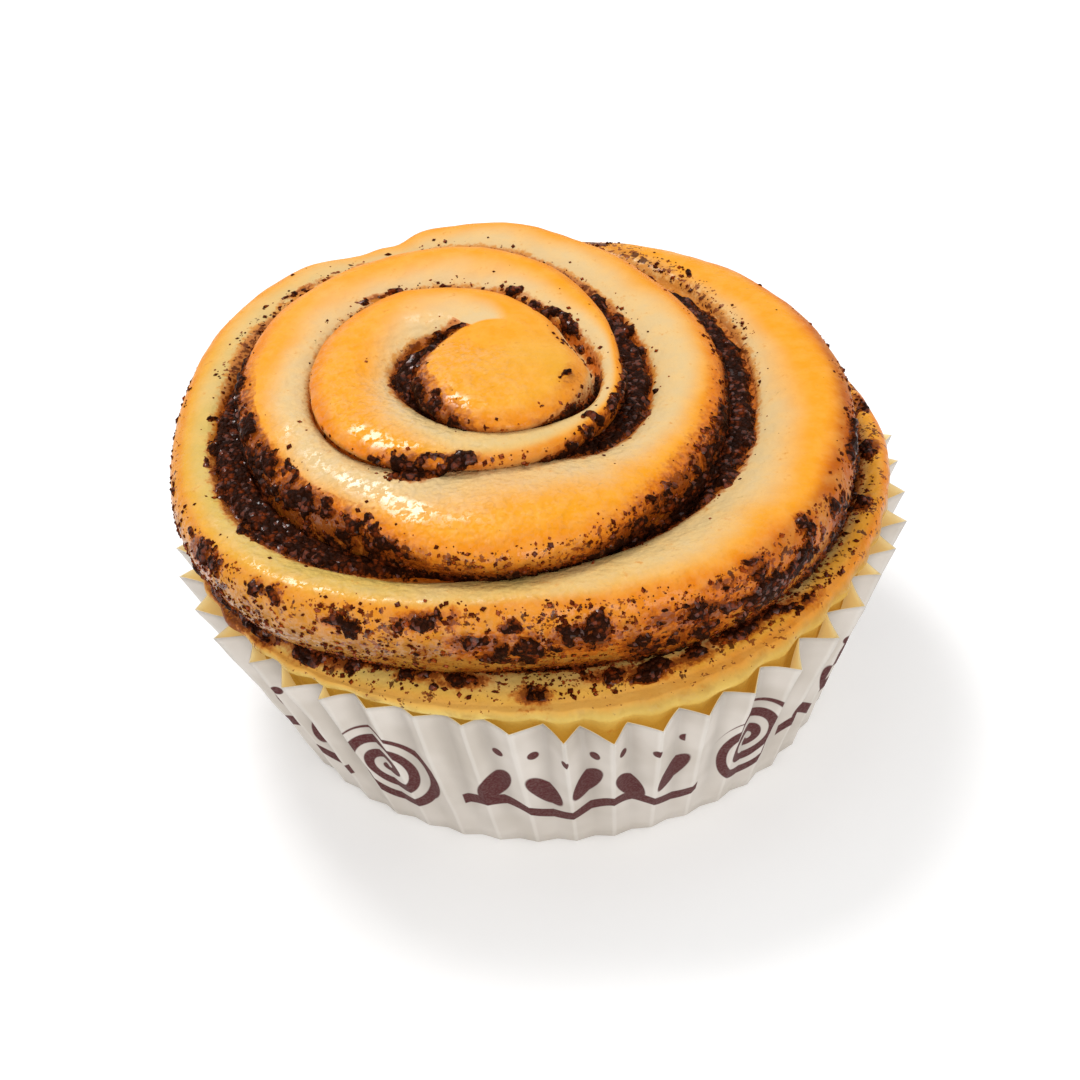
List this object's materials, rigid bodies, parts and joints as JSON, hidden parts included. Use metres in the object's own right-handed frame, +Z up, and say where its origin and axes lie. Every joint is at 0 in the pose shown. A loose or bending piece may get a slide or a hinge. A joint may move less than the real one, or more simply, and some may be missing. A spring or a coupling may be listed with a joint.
{
  "type": "cinnamon roll",
  "caption": "Coiled cinnamon bun with a dark crumbly filling between its stepped turns, baked and served in a pleated paper case.",
  "frame": {"origin": "middle of the paper case's flat bottom, on the surface it stands on", "axes": "+Z up, the coil's axis; -Y is the front that the picture shows, +X to its right"},
  "size_m": [0.101, 0.1019, 0.0568],
  "materials": {
    "dough": "baked crust with a soft egg-wash gloss, pale where the turns meet and golden at their crowns",
    "filling": "dark, grainy and moist",
    "paper_case": "matt pleated greaseproof paper"
  },
  "bodies": {
    "root": {"dough": "dough", "filling": "filling", "paper_case": "paper_case"}
  },
  "joints": []
}
